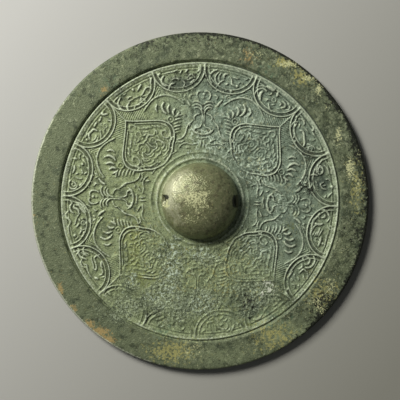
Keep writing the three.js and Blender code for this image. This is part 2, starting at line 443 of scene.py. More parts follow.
LOBE_BEASTS: tuple[Drawing, ...] = (
    (
        (13, -88, 678, -78, 688, -68, 703), (22, -38, 706),
        (12, -44, 675, -38, 658, -25, 650, -12, 650, -4, 668), (11, -22, 673, -24, 658),
        (12, 86, 665, 76, 674, 60, 676, 46, 668, 42, 654, 54, 648, 74, 653, 86, 665),
        (11, 36, 698, 54, 699, 72, 692, 84, 684), (10, 30, 714, 60, 715, 86, 706, 100, 694),
        (12, 114, 678, 98, 662, 80, 646, 62, 638, 48, 637), (14, 36, 640, 43, 624, 43, 606),
        (10, -86, 660, -74, 668), (9, -20, 632, 6, 628),
    ),
    (
        (16, -38, 628, -26, 640, -8, 648, 12, 658, 30, 663, 38, 656),
        (11, -83, 670, -66, 667, -50, 656, -43, 648), (12, -25, 699, -12, 701, -3, 700),
        (15, 5, 704, 11, 716, 26, 718), (12, -106, 696, -97, 684, -86, 680),
        (13, 25, 602, 36, 614, 59, 622), (16, 78, 654, 73, 636),
        (12, 86, 666, 95, 654, 92, 636, 82, 622), (13, 58, 686, 70, 694, 88, 692, 97, 680),
        (13, 114, 678, 110, 666), (16, 8, 600), (9, 2, 684, 34, 680),
    ),
    (
        (16, -6, 694, 1, 714), (24, 30, 708, 52, 708, 70, 706),
        (14, -76, 694, -94, 686, -98, 672, -88, 662), (13, -50, 689, -68, 684, -74, 670, -64, 659),
        (12, -34, 676, -46, 672, -44, 662), (12, -29, 612, -14, 618, 0, 628, 8, 638),
        (21, 70, 668, 72, 654, 64, 636, 53, 624),
        (13, 54, 684, 70, 686, 84, 679, 94, 666, 98, 648, 94, 630),
        (11, 72, 696, 90, 692, 104, 680, 110, 664), (11, 10, 654, 24, 652, 26, 640),
        (10, -60, 646, -46, 642), (12, -20, 648, -10, 640),
    ),
    (
        (14, 72, 702, 88, 692, 100, 676, 104, 658, 98, 640, 84, 624),
        (12, 61, 692, 71, 678, 74, 660, 68, 644, 56, 632), (11, 50, 690, 56, 676, 54, 658, 49, 648),
        (19, -50, 642), (13, -38, 640, -24, 640, -17, 652, -12, 667, 0, 679),
        (15, 12, 694, 24, 691, 29, 680, 26, 668), (12, -48, 680, -34, 680, -22, 682),
        (15, 2, 646, 12, 638), (12, 26, 656, 40, 644, 50, 628, 56, 610), (18, -25, 610),
        (12, 2, 604, 5, 613), (10, -96, 690, -84, 680),
    ),
    (
        (15, -108, 704, -108, 690, -96, 682), (12, -78, 662, -68, 674, -52, 672, -38, 660),
        (12, -76, 657, -60, 658, -44, 652, -32, 652), (15, -70, 641, -48, 628),
        (13, -12, 650, -22, 634, -12, 618, -10, 608), (13, 6, 656, 16, 664, 34, 666, 44, 660),
        (14, 33, 641, 50, 640, 60, 632, 68, 616), (16, 86, 686, 98, 674, 102, 658, 94, 640, 82, 632),
        (15, 104, 704, 116, 692), (12, 10, 708, 30, 702, 68, 700), (14, -44, 704, -30, 690),
        (14, -12, 700, -2, 686),
    ),
    (
        (16, -126, 694, -116, 686, -104, 672), (16, -56, 693, -44, 688, -24, 676), (18, -6, 692),
        (12, -94, 648, -86, 660, -70, 664, -54, 656, -38, 646, -26, 642),
        (11, -92, 642, -76, 631, -54, 628, -32, 634), (11, -14, 644, 4, 646, 16, 656),
        (12, -22, 634, -6, 622), (12, 20, 666, 34, 670, 46, 664),
        (16, 48, 644, 62, 638, 70, 624, 72, 610),
        (14, 74, 692, 92, 680, 104, 666, 104, 646, 94, 624, 78, 610), (11, 80, 700, 100, 696, 116, 686),
        (12, 6, 606, 24, 614, 40, 604), (11, 10, 652, 30, 650, 48, 654),
    ),
    (
        (16, -88, 674, -74, 686, -70, 694), (14, -52, 690, -36, 686, -28, 686), (16, -16, 692, 8, 690),
        (11, -84, 696, -66, 698), (16, 17, 664, 22, 682, 36, 685, 54, 688, 68, 680, 78, 668),
        (12, 42, 650, 56, 646, 74, 650), (12, 46, 638, 62, 634, 76, 638), (18, 90, 680), (12, 8, 648),
        (11, 18, 644, 30, 630, 44, 622), (11, -60, 650, -66, 636, -56, 624), (11, 60, 700, 84, 696),
    ),
    (
        (16, -26, 694, -10, 690, 12, 694), (15, -68, 694, -66, 710), (14, -86, 660), (16, -44, 654),
        (11, -36, 670, -26, 664), (12, -12, 650, -2, 642, 6, 646), (12, 8, 666, 16, 676),
        (12, 52, 692, 66, 700, 84, 696, 96, 684, 96, 668, 86, 656, 70, 653),
        (12, 56, 684, 62, 668, 74, 662, 82, 672, 76, 682, 66, 680), (14, 54, 634, 70, 644),
        (13, -36, 626, -24, 614), (12, -10, 622, 4, 634), (11, -84, 640, -72, 628),
        (11, -96, 680, -82, 684, -70, 676), (11, 30, 640, 34, 656, 30, 672),
    ),
    (
        (14, -110, 682, -96, 678, -82, 690, -66, 692, -50, 686, -42, 676),
        (15, -82, 664, -68, 668, -60, 654, -46, 646, -34, 650),
        (14, -84, 656, -76, 640, -58, 634, -38, 624), (15, -94, 650, -84, 632, -60, 616, -36, 609),
        (13, -56, 702, -44, 714, -26, 714, -14, 704, -2, 696, 10, 702, 26, 712, 60, 714),
        (16, 18, 658, 34, 674), (15, -4, 634), (12, -6, 652, 6, 650), (14, 44, 648, 56, 650, 72, 662),
        (20, 76, 686), (12, 64, 638, 80, 644, 88, 656), (11, 54, 630, 56, 644, 46, 652),
        (10, -36, 642, -20, 658, 0, 670, 20, 679),
    ),
    (
        (14, -124, 686, -112, 686, -106, 700, -104, 710), (15, -98, 700, -80, 700, -66, 690, -52, 680),
        (13, -62, 702, -52, 714, -34, 718, -18, 712),
        (12, -38, 700, -26, 692, -10, 698, 10, 704, 40, 706),
        (13, -110, 654, -100, 666, -86, 666, -70, 654, -60, 650), (11, -94, 672, -78, 672, -64, 664),
        (12, -36, 608, -40, 624, -34, 640, -10, 646, 12, 654, 22, 664, 12, 670, -8, 662, -30, 656, -48, 648),
        (17, 2, 618, 16, 628, 30, 632), (13, 38, 638, 50, 640, 60, 650, 58, 664),
        (19, 58, 688, 68, 678), (11, -78, 640, -64, 628), (11, 72, 660, 76, 646),
    ),
    (
        (15, -128, 696, -130, 674), (14, -128, 698, -110, 706, -74, 710), (16, -110, 682, -86, 686),
        (13, -46, 698, -44, 714), (13, -24, 700, -24, 714), (17, 24, 706), (17, 46, 712),
        (12, -96, 630, -84, 648, -66, 660), (12, -78, 628, -66, 644, -50, 650),
        (10, 20, 640, 34, 650, 50, 646), (12, 84, 690, 92, 676), (11, 0, 614, 20, 612, 36, 618),
    ),
    (
        (14, -74, 670, -60, 662, -44, 650), (14, -96, 660, -76, 648, -56, 634, -44, 630),
        (13, -104, 644, -86, 626, -64, 616), (14, -60, 696, -50, 684), (26, -4, 656, 6, 662, 14, 670),
        (15, -16, 644, -16, 630, -10, 620), (13, 40, 682, 56, 692, 72, 686, 78, 672),
        (12, 46, 650, 60, 644, 66, 654), (13, 70, 634, 80, 646), (12, 30, 640, 44, 630),
        (11, -40, 700, -26, 690), (12, 20, 610, 40, 606),
    ),
    (
        (14, -12, 666, -6, 682, 10, 694, 28, 696, 40, 684, 38, 670), (12, 4, 674, 16, 668),
        (14, 32, 710, 46, 704, 54, 694), (14, 56, 714, 68, 698, 78, 684),
        (12, -70, 670, -66, 654, -50, 648, -30, 648), (14, -44, 632, -26, 628),
        (11, -100, 690, -84, 682), (12, 10, 640, 24, 632), (11, 90, 690, 98, 676),
        (11, -30, 612, -8, 616),
    ),
    (
        (13, -90, 690, -64, 698, -38, 692), (20, -54, 656), (12, -104, 666, -80, 668),
        (12, 20, 704, 60, 700, 100, 692), (12, 40, 684, 70, 680, 90, 670),
        (13, 58, 654, 70, 662, 76, 652), (21, -18, 626, 4, 618, 30, 608, 60, 602),
        (12, -40, 640, -20, 646, 0, 642), (12, -84, 640, -66, 628),
    ),
    (
        (14, 44, 664, 56, 680, 80, 687, 106, 680, 118, 662),
        (13, 60, 654, 68, 664, 82, 666, 96, 658, 98, 642, 90, 628), (12, 70, 640, 74, 626, 84, 622),
        (15, 18, 640, 36, 646, 48, 638), (12, -4, 656, 16, 658, 30, 664, 27, 678, 28, 690),
        (11, 0, 706, 12, 700, 22, 688), (12, -14, 704, -8, 688, 6, 678),
        (15, -120, 652, -104, 654, -98, 660), (16, -50, 646), (12, -56, 620, -30, 620, -10, 620),
        (12, -60, 694, -50, 690), (11, -80, 680, -66, 672, -70, 658), (11, -30, 672, -20, 660),
    ),
    (
        (12, -34, 660, -14, 666, 4, 672), (12, -36, 650, -14, 654, 4, 658), (12, -37, 639, -16, 644),
        (12, -37, 628, -18, 634), (12, -36, 614, -10, 618, 10, 626, 20, 636),
        (13, 6, 608, 26, 608, 46, 610, 56, 620, 70, 628, 84, 636), (15, -84, 670, -60, 674, -34, 674),
        (16, -70, 690), (17, 26, 628, 26, 650, 34, 666), (15, 66, 654, 74, 668, 84, 666),
        (13, 86, 686, 102, 674, 110, 656, 104, 638),
        (12, 48, 684, 68, 692, 88, 684, 100, 668, 100, 650), (12, 12, 716, 18, 702, 30, 696),
        (11, 24, 718, 32, 706), (12, 56, 642, 70, 634, 84, 638), (10, -86, 700, -54, 700, -20, 696),
    ),
)
LOBE_EYES: dict[int, tuple[int, int]] = {
    0: (62, 661), 1: (-70, 648), 2: (-4, 668), 4: (-58, 666), 5: (-22, 613), 6: (-28, 644),
    8: (18, 632), 9: (-86, 690), 15: (-58, 658),
}
MASK_HALF: Drawing = (
    (13, 142, 426, 138, 386, 116, 364, 94, 370, 88, 392, 100, 410, 120, 402, 116, 388),
    (13, 26, 504, 39, 489), (14, 46, 490, 59, 474), (14, 65, 476, 79, 459), (14, 87, 464, 98, 446),
    (13, 108, 448, 114, 430), (14, 0, 434, 12, 432, 26, 442, 42, 440, 52, 428, 66, 427, 76, 436),
    (12, 9, 420, 8, 400, 13, 382, 24, 376), (13, 4, 366, 20, 363, 36, 370, 40, 384),
    (13, 50, 394, 62, 380, 63, 364, 52, 354), (12, 8, 350, 24, 346, 36, 352),
    (12, 44, 340, 60, 344, 71, 356, 70, 372), (12, 2, 332, 14, 328, 26, 334),
    (11, 80, 374, 92, 356, 87, 340), (11, 36, 326, 50, 322, 66, 330),
    (11, 0, 546, 13, 536, 19, 522, 12, 512), (13, 8, 496, 16, 484, 10, 470, 18, 458, 32, 459),
    (11, 62, 414, 72, 406, 68, 392), (11, 22, 308, 44, 310, 66, 318), (10, 10, 296, 24, 299, 42, 296),
    (12, 104, 348, 118, 344, 122, 354), (11, 78, 444, 84, 430, 76, 418),
    (11, 28, 474, 38, 466, 52, 456),
)
MASK_EYES: tuple[tuple[int, int], ...] = ((36, 406), (43, 458), (0, 458))
BIRD_HALF: Drawing = (
    (12, 106, 514, 134, 536, 170, 552, 210, 557, 250, 546, 280, 522, 300, 494, 316, 466),
    (15, 248, 502, 254, 482, 244, 464), (17, 214, 518, 223, 496, 212, 470, 198, 460),
    (17, 182, 506, 190, 486, 182, 464), (17, 152, 488, 162, 472, 158, 454),
    (15, 128, 468, 136, 454, 140, 444), (17, 72, 510, 82, 526, 98, 540),
    (11, 114, 454, 133, 451, 150, 444), (11, 116, 436, 135, 433, 152, 425),
    (11, 119, 418, 137, 414, 153, 406), (11, 121, 399, 139, 395, 154, 388),
    (11, 124, 381, 141, 377, 155, 369), (11, 126, 363, 142, 359, 155, 351),
    (12, 64, 419, 79, 402, 87, 378, 94, 354, 110, 334, 136, 324),
    (11, 19, 464, 37, 457, 47, 446, 45, 430), (11, 54, 430, 66, 414, 70, 400),
    (13, 5, 466, 12, 486, 30, 498, 46, 494), (12, 4, 490, 14, 506, 34, 514, 54, 506),
    (12, 4, 514, 20, 526, 42, 530, 56, 524), (13, 6, 586, 22, 588, 35, 574, 34, 554, 26, 539),
    (9, 6, 470, 5, 440, 6, 412), (12, 8, 406, 16, 392, 34, 390, 44, 376, 32, 364, 20, 372),
    (14, 0, 356, 24, 360, 44, 368, 56, 384), (11, 0, 337, 26, 340),
    (10, 30, 306, 60, 303, 84, 308, 108, 300, 122, 284), (10, 8, 318, 9, 292),
    (11, 98, 320, 116, 312, 130, 316), (11, 100, 562, 104, 552), (12, 118, 556, 126, 568),
    (12, 60, 566, 72, 558, 68, 546), (11, 150, 340, 162, 330, 158, 318),
    (11, 66, 332, 52, 326, 40, 318),
)
BIRD_EYES: tuple[tuple[int, int], ...] = ((172, 429),)
POST_DOTS: Drawing = ((18, 0, 570), (14, 0, 552))


def strokes_of(drawing: Drawing) -> Iterator[tuple[Points, float]]:
    """Reads a drawing, whose strokes are a width and then side, out, side, out, in tenths of a millimetre.

    Args:
        drawing: The strokes.

    Yields:
        Rows of (out, side) along each stroke, and its width, both in millimetres.
    """
    for width, *places in drawing:
        points = np.array(places, dtype=float).reshape(-1, 2)[:, ::-1] / 10
        yield (spline(points) if len(points) > 1 else points), width / 10


@dataclass
class Carver:
    """Draws strokes, eyes and dots in a motif's own frame, each a little off, as in hand-cut wax."""

    sheet: HeightSheet
    rng: np.random.Generator
    slip: float = 0.12
    height: float = 0.62
    thin_share: float = 0.62
    rise_per_width: float = 0.3
    spread: float = 1.08
    taper: tuple[float, float] = (0.8, 0.6)
    flat: float = 0.35
    eye_width: float = 0.95

    def carve(self, place: Place, drawing: Drawing) -> Points:
        """Draws all strokes of a drawing.

        Args:
            place: The motif's frame.
            drawing: The strokes.

        Returns:
            Rows of (out, side) for the ground that they take up.
        """
        taken = []
        for points, width in strokes_of(drawing):
            points = points + self.rng.normal(0, self.slip, 2)
            taken.append(points)
            height = self.height * (self.thin_share + self.rise_per_width * width)
            if len(points) == 1:
                self.sheet.dome(place.at(points), width / 2, height)
            else:
                self.sheet.stroke(place.at(points), self.spread * width, height, self.taper, self.flat)
        return np.vstack(taken)

    def eye(self, place: Place, side: float, out: float, radius: float) -> Points:
        """Draws an eye as a ringed boss.

        Args:
            place: The motif's frame.
            side: How far along the rim it lies.
            out: How far out it lies.
            radius: Radius of its ring.

        Returns:
            One row with its middle.
        """
        middle = np.array([[out, side]])
        self.sheet.ring(place.at(middle), radius, self.eye_width, 0.8 * self.height)
        self.sheet.dome(place.at(middle), 0.36 * radius, 0.6 * self.height)
        return middle


@dataclass
class LobeRing:
    """The ring inside the rim and its sixteen lobes, each with a beast of its own."""

    sizes: MirrorSizes
    sheet: HeightSheet
    rng: np.random.Generator
    line_width: float = 1.2
    line_height: float = 0.8
    inner_gap: float = 2.1
    inner_width: float = 0.95
    inner_height: float = 0.6
    clear: float = 1.2
    third_inset: float = 2.1
    third_width: float = 0.8
    third_height: float = 0.45
    eye_radius: float = 1.1
    filler_tries: int = 160

    def outline(self, inset: float) -> Points:
        """A lobe's arc, set in from its outer line, as rows of (out, side)."""
        angle = np.linspace(0, math.pi, 40)
        half_chord = self.sizes.lobe_half_chord - inset
        depth = self.sizes.lobe_depth - inset
        return np.column_stack([self.sizes.cusp_radius - depth * np.sin(angle), half_chord * np.cos(angle)])

    def turn_of(self, index: int) -> float:
        """The direction of a lobe's middle, in radians."""
        return 2 * math.pi * (index + 0.5) / self.sizes.lobe_count + math.radians(self.sizes.design_turn)

    def draw(self) -> None:
        """Draws the ring, the thin line inside it and every lobe with its beast."""
        drawn = 0
        ring_radius = self.sizes.ring_radius
        self.sheet.circle(ring_radius + 0.1, 2.8, 0.42, 0.6)
        self.sheet.circle(ring_radius + 1.0, 1.2, 0.85)
        carver = Carver(self.sheet, self.rng)
        half_chord = self.sizes.lobe_half_chord - self.inner_gap - 1.3
        depth = self.sizes.lobe_depth - self.inner_gap - self.clear
        cusp = self.sizes.cusp_radius

        def inside(points: Points) -> np.ndarray:
            """Says which places are clear of the lobe's inner line."""
            inward = (cusp - points[:, 0]) / depth
            clear = inward**2 + (points[:, 1] / half_chord) ** 2 < 1
            return clear & (np.hypot(points[:, 0], points[:, 1]) < cusp - 1.6)

        for index in range(self.sizes.lobe_count):
            place = Place(self.turn_of(index))
            self.sheet.stroke(place.at(self.outline(0.0)), self.line_width, self.line_height, (1, 1))
            inner = self.outline(self.inner_gap)
            self.sheet.stroke(place.at(inner), self.inner_width, self.inner_height, (1, 1))
            along = np.linspace(-1, 1, 24) * math.asin((half_chord + 1.0) / cusp)
            near_ring = (ring_radius - self.third_inset) * np.column_stack([np.cos(along), np.sin(along)])
            self.sheet.stroke(place.at(near_ring), self.third_width, self.third_height, (1, 1))
            taken = [carver.carve(place, LOBE_BEASTS[index])]
            if index in LOBE_EYES:
                side, out = LOBE_EYES[index]
                taken.append(carver.eye(place, side / 10, out / 10, self.eye_radius))
            filler = ScrollFiller(self.sheet, place, inside, self.rng, np.vstack(taken))
            drawn += filler.fill((cusp - depth, -half_chord), (cusp - 2.0, half_chord), self.filler_tries)
        log.info("ring of %d lobes: %d filling scrolls", self.sizes.lobe_count, drawn)


@dataclass
class MaskLeaves:
    """The four heart-shaped leaves, each with a beast's mask in it."""

    sizes: MirrorSizes
    sheet: HeightSheet
    rng: np.random.Generator
    line_width: float = 1.25
    line_height: float = 0.78
    half_outline: tuple[tuple[float, float], ...] = (
        (58.2, 0.0), (55.7, 2.4), (52.5, 6.0), (48.6, 10.6), (44.9, 14.4), (40.6, 16.1),
        (37.2, 15.4), (34.0, 13.0), (31.9, 9.9), (29.8, 7.4), (28.2, 3.8),
    )
    middle: float = 43.0
    inner_share: float = 0.88
    fence_share: float = 0.76
    mask_height: float = 0.46
    eye_radii: tuple[float, ...] = (1.5, 0.85, 0.85)
    filler_gap: float = 1.25
    filler_tries: int = 700

    def turn_of(self, index: int) -> float:
        """The direction of a leaf's tip, in radians."""
        return 2 * math.pi * (index + 0.5) / self.sizes.leaf_count + math.radians(self.sizes.design_turn)

    def outline(self, share: float = 1.0) -> Points:
        """The leaf's whole outline as rows of (out, side), scaled about its middle by a share."""
        half = spline(self.half_outline, 5)
        whole = np.vstack([half, (half * (1, -1))[::-1]])
        return (whole - (self.middle, 0)) * share + (self.middle, 0)

    def draw(self) -> None:
        """Draws every leaf with its stem, neck and mask."""
        drawn = 0
        fence = self.outline(self.fence_share)

        def inside(points: Points) -> np.ndarray:
            """Says which places are within the leaf's inner line, on the side with the positive hand."""
            return within(points, fence) & (points[:, 1] > 0.6)

        for index in range(self.sizes.leaf_count):
            turn = self.turn_of(index)
            carver = Carver(self.sheet, self.rng, height=self.mask_height)
            for hand in (1, -1):
                half = Place(turn, hand)
                edge = spline(self.half_outline, 5)
                self.sheet.stroke(half.at(edge), self.line_width, self.line_height, (1, 1))
                inner = (edge[6:-4] - (self.middle, 0)) * self.inner_share + (self.middle, 0)
                self.sheet.stroke(half.at(inner), 0.9, 0.55, (1, 1))
                neck = spline([(28.2, 3.8), (27.4, 0.4), (28.6, -4.4), (28.0, -9.0)])
                self.sheet.stroke(half.at(neck), 1.0, 0.55, (1, 0.5))
                taken = carver.carve(half, MASK_HALF)
                for (side, out), radius in zip(MASK_EYES, self.eye_radii):
                    middle = carver.eye(half, side / 10, out / 10, radius)
                    taken = np.vstack([taken, middle, middle + (1.0, 0), middle - (1.0, 0)])
            stem = np.array([(self.sizes.cusp_radius, 0.0), (63.0, 0.1), (58.2, 0.0)])
            self.sheet.stroke(Place(turn).at(stem), 0.9, 0.6, (1, 1))
            filler = ScrollFiller(
                self.sheet, Place(turn), inside, self.rng, taken, gap=self.filler_gap, both_hands=True
            )
            drawn += filler.fill((30.0, 0.6), (54.0, 13.5), self.filler_tries)
        log.info("%d leaves with masks: %d filling scrolls", self.sizes.leaf_count, drawn)


@dataclass
class FacingBirds:
    """Four pairs of birds that face each other across a post, between the leaves."""

    sizes: MirrorSizes
    sheet: HeightSheet
    rng: np.random.Generator
    body_outline: tuple[tuple[float, float], ...] = (
        (5.6, 51.0), (9.6, 50.6), (11.8, 47.0), (10.2, 42.0), (8.6, 38.6), (6.6, 42.0), (5.6, 46.0),
    )
    body_height: float = 0.22
    body_slope: float = 1.3
    eye_radius: float = 1.55
    filler_gap: float = 1.4
    filler_tries: int = 260

    def arch_ground(self, place: Place) -> Points:
        """The outline of all the ground under one bird's plume arch."""
        arch = next(strokes_of(BIRD_HALF))[0]
        return place.at(np.vstack([arch, [(34.0, 26.0), (30.0, 3.0), (48.0, 3.0)]]))

    def draw(self) -> None:
        """Draws each pair with its post."""
        drawn = 0

        def inside(points: Points) -> np.ndarray:
            """Says which places beside the post are open for small scrolls."""
            out, side = points[:, 0], points[:, 1]
            above = (out > 53.5) & (np.hypot(out, side) < 60.5) & (side < 15) & (side > 0.8)
            below = (out < 37) & (np.hypot(out, side) > 28.5) & (side > 6) & (side < 17)
            return above | below

        for index in range(self.sizes.leaf_count):
            axis = 2 * math.pi * index / self.sizes.leaf_count + math.radians(self.sizes.design_turn)
            carver = Carver(self.sheet, self.rng)
            for hand in (1, -1):
                place = Place(axis, hand)
                body = spline([(out, side) for side, out in self.body_outline], 5, closed=True)
                self.sheet.plateau(place.at(body), self.body_height, self.body_slope)
                taken = carver.carve(place, BIRD_HALF)
                for side, out in BIRD_EYES:
                    carver.eye(place, side / 10, out / 10, self.eye_radius)
                filler = ScrollFiller(self.sheet, place, inside, self.rng, taken, gap=self.filler_gap)
                drawn += filler.fill((28.0, 1.0), (60.0, 17.0), self.filler_tries)
            carver.carve(Place(axis), POST_DOTS)
        log.info("%d pairs of birds: %d filling scrolls", self.sizes.leaf_count, drawn)


@dataclass
class Hatching:
    """The fine oblique lines that fill the ground between the lobes, the leaves and the plume arches."""

    sizes: MirrorSizes
    sheet: HeightSheet
    leaves: MaskLeaves
    birds: FacingBirds
    spacing: float = 1.05
    height: float = 0.4
    lean_degrees: float = 58
    inner_radius: float = 33
    lobe_margin: float = 1.12
    leaf_share: float = 1.06
    post_degrees: float = 11

    def draw(self) -> None:
        """Draws the lines in every spandrel."""
        sheet, sizes = self.sheet, self.sizes
        x, y = np.meshgrid(sheet.axis, sheet.axis)
        radius = np.hypot(x, y)
        ground = (radius > self.inner_radius) & (radius < sizes.cusp_radius)
        cells = np.column_stack([x[ground], y[ground]])
        free = np.ones(len(cells), dtype=bool)
        turn = math.radians(sizes.design_turn)
        angle = np.arctan2(cells[:, 1], cells[:, 0]) - turn
        step = 2 * math.pi / sizes.lobe_count
        across = (angle % step) - step / 2
        out = np.hypot(*cells.T)
        half_chord, depth = sizes.lobe_half_chord, sizes.lobe_depth
        inward = (sizes.cusp_radius - out * np.cos(across)) / depth
        side = out * np.sin(across) / half_chord
        free &= inward**2 + side**2 > self.lobe_margin
        for index in range(sizes.leaf_count):
            leaf = Place(self.leaves.turn_of(index))
            free &= ~within(cells, leaf.at(self.leaves.outline(self.leaf_share)))
            axis = 2 * math.pi * index / sizes.leaf_count + turn
            for hand in (1, -1):
                free &= ~within(cells, self.birds.arch_ground(Place(axis, hand)))
            from_axis = np.abs(np.angle(np.exp(1j * (angle + turn - axis))))
            free &= ~(from_axis < math.radians(self.post_degrees))
        sector = np.floor((angle % (2 * math.pi)) / step)
        lean = np.radians(self.lean_degrees) * np.where(sector % 2 == 0, 1, -1)
        course = (sector + 0.5) * step + turn + lean
        phase = (cells[:, 0] * np.sin(course) - cells[:, 1] * np.cos(course)) / self.spacing
        lines = self.height * (0.5 + 0.5 * np.cos(2 * math.pi * phase))
        sheet.lines[ground] = np.maximum(sheet.lines[ground], np.where(free, lines, 0.0))


@dataclass(frozen=True)
class Patch:
    """A patch of wear or colour: its middle, its reach across and up, and how strong it is."""

    x: float
    y: float
    reach_x: float
    reach_y: float
    strength: float
    falling: float = 0.7

    def cover(self, x: np.ndarray, y: np.ndarray) -> np.ndarray:
        """How strongly the patch covers each place, from 0 to its strength."""
        away = ((x - self.x) / self.reach_x) ** 2 + ((y - self.y) / self.reach_y) ** 2
        return self.strength * np.exp(-self.falling * away)


def patches(*rows: tuple[float, ...]) -> tuple[Patch, ...]:
    """Makes patches of rows that hold x, y, the reach across, the reach up and the strength."""
    return tuple(Patch(*values) for values in rows)


PATCHES: dict[Note, tuple[Patch, ...]] = {
    Note.WORN: patches(
        (-4, -54, 36, 13, 0.85), (-20, -40, 17, 14, 0.85), (26, 24, 10, 8, 0.45), (34, -52, 13, 8, 0.8),
        (-38, -56, 12, 8, 0.6), (8, -32, 14, 7, 0.6), (0, 58, 10, 7, 0.3), (50, -4, 9, 7, 0.4),
    ),
    Note.CRUST: patches(
        (47, 73, 6, 1.9, 1.1), (57, 65.5, 4, 1.8, 1.0), (63.5, 59, 1.9, 3.6, 0.95), (68, 50, 3, 4, 0.6),
        (74, 34, 2.6, 5, 0.7), (80, 19, 2.2, 6, 0.75), (84, 7, 2.4, 6, 0.8), (85, 25, 1.5, 4, 0.7),
        (62, -52, 6, 4, 0.6), (70, -46, 3, 6, 0.9), (66, -58, 3, 3, 0.8), (30, 78, 6, 4, 0.5),
        (44, -50, 5, 4, 0.4), (-9, 2.2, 5, 2.6, 0.42), (0, 1.5, 5, 4, 0.47), (10, -2.0, 5, 3.6, 0.6),
        (-6, -10.5, 4, 2.6, 0.55), (2, -11.5, 4, 2.4, 0.5), (6, 8, 5, 5, 0.35),
        (-12.5, 8.5, 3.5, 3.5, 0.5), (-4.5, 13.9, 1.5, 1.0, 0.7), (3, -5, 9, 5, 0.35),
        (-18.0, -1.7, 2.1, 1.9, 1.7), (77, -26, 5, 14, 0.45), (34, 22, 20, 22, 0.3),
        (6, 42, 14, 12, 0.25), (20, -28, 20, 12, 0.25), (-10, -78, 18, 8, 0.35),
        (-62, -24, 10, 20, 0.2),
    ),
    Note.SHADE: patches(
        (-11, 63, 9, 5, 0.95), (65, 12, 5, 9, 0.95), (-63, -14, 6, 8, 0.5), (-40, 56, 9, 6, 0.5),
        (-56, 36, 6, 6, 0.4), (20, 64, 10, 4, 0.5), (-26, -60, 8, 5, 0.6), (28, -58, 8, 6, 0.7),
        (-28, -8, 8, 6, 0.3), (44, -6, 10, 8, 0.4),
    ),
    # The cord hole's mouths: soil, and painted shade inside the hole.
    Note.HOLE_SOIL_AND_SHADE: patches(
        (-18.1, 1.9, 1.9, 1.3, 1.1), (18.4, -0.2, 1.3, 3.0, 1.3),
    ),
    Note.WASH: patches(
        (8, -82, 22, 6, 0.75), (45, -69, 12, 7, 0.9), (63, -52, 7, 10, 0.6), (76, -30, 5, 14, 0.5),
        (-34, -74, 12, 6, 0.35),
    ),
    # Painted highlight: pale patches on the knob's upper left, the side towards the light.
    Note.KNOB_HIGHLIGHT: patches(
        (-13.5, 9, 4.5, 5, 0.75), (-17, 3, 2.4, 6, 0.7), (-14, -4, 5, 5, 0.5), (-11, -11, 5, 4, 0.4),
        (-8, 15, 5, 3, 0.5), (-22.5, 8, 1.6, 8, 0.5),
    ),
    Note.FROST: patches(
        (35.5, -43.5, 3.2, 2.4, 0.85), (38, -47.5, 2.6, 2.4, 0.8), (33.5, -49.5, 2.0, 2.0, 0.75),
    ),
    Note.LACE: patches(
        (34, 26, 24, 22, 0.75), (4, 44, 20, 12, 0.5), (38, -14, 18, 14, 0.5), (10, -48, 34, 18, 0.45),
        (-30, -48, 20, 18, 0.5), (-8, -24, 14, 8, 0.45), (30, 2, 10, 10, 0.5), (-2, 30, 12, 6, 0.4),
    ),
    Note.MOSS: patches(
        (-36, -16, 6, 6, 0.8), (-35, -30, 5, 9, 0.9), (-32, -42, 6, 4, 0.7), (-20, -46, 10, 8, 0.45),
        (6, -58, 12, 8, 0.6), (-46, 18, 6, 8, 0.45), (-34, 12, 8, 8, 0.4), (26, -66, 6, 5, 0.5),
        (48, -14, 4, 3, 0.6), (-50, -6, 6, 8, 0.4),
    ),
    Note.BLUISH: patches(
        (34, 34, 34, 34, 1.0), (10, 52, 30, 16, 0.5), (46, -16, 22, 28, 0.7), (10, -58, 30, 12, 0.4),
    ),
    Note.OCHRE: patches(
        (-51.4, 58.8, 2.2, 1.8, 0.9), (-74, -47, 1.8, 3.5, 0.8), (-67, -57, 2.2, 2.6, 0.7),
        (-59, -65, 3.0, 2.4, 0.8), (-52.5, -69.5, 4.0, 2.4, 1.0), (-48, -74, 3.0, 2.0, 0.9),
        (26, 77, 5, 5, 0.5), (-88, -14, 1.6, 12, 0.4),
    ),
    Note.DUSTY: patches(
        (-15, -80, 11, 6, 0.75), (45, 74, 6, 3, 0.8), (54, 66, 5, 5, 0.7), (84, 8, 5, 14, 0.6),
        (66, -50, 8, 9, 0.6), (40, -72, 12, 8, 0.6), (-30, -20, 20, 26, 0.22), (14, -40, 22, 16, 0.3),
    ),
    Note.MALACHITE: patches(
        (-48, 62, 8, 8, 0.35), (36, 70, 8, 6, 0.45), (12, 50, 8, 10, 0.35), (-18, -70, 12, 6, 0.4),
        (40, -64, 14, 8, 0.4),
    ),
    # Dark patina spots; the rows near the outer edge at the top and the right add to its painted shade.
    Note.DARK_AND_EDGE_SHADE: patches(
        (14, 12, 5, 6, 0.3), (-40, 62, 9, 4, 0.35), (56, 26, 5, 5, 0.4), (-26, -60, 6, 4, 0.35),
        (64, -60, 8, 7, 0.5), (25, -54, 5, 8, 0.55), (84, 30, 5, 20, 0.5), (-30, 82, 14, 3.5, 0.38),
        (0, 86, 14, 3, 0.38), (82, -16, 6, 10, 0.35), (66, -50, 6, 6, 0.5), (58, 8, 6, 8, 0.5),
        (-4, 66, 12, 4, 0.5), (70, 52, 5, 5, 0.4),
    ),
}


def mixed(depths: Sequence[float], *grains: np.ndarray) -> np.ndarray:
    """Adds grains up, each at its own depth."""
    return sum(depth * grain for depth, grain in zip(depths, grains))


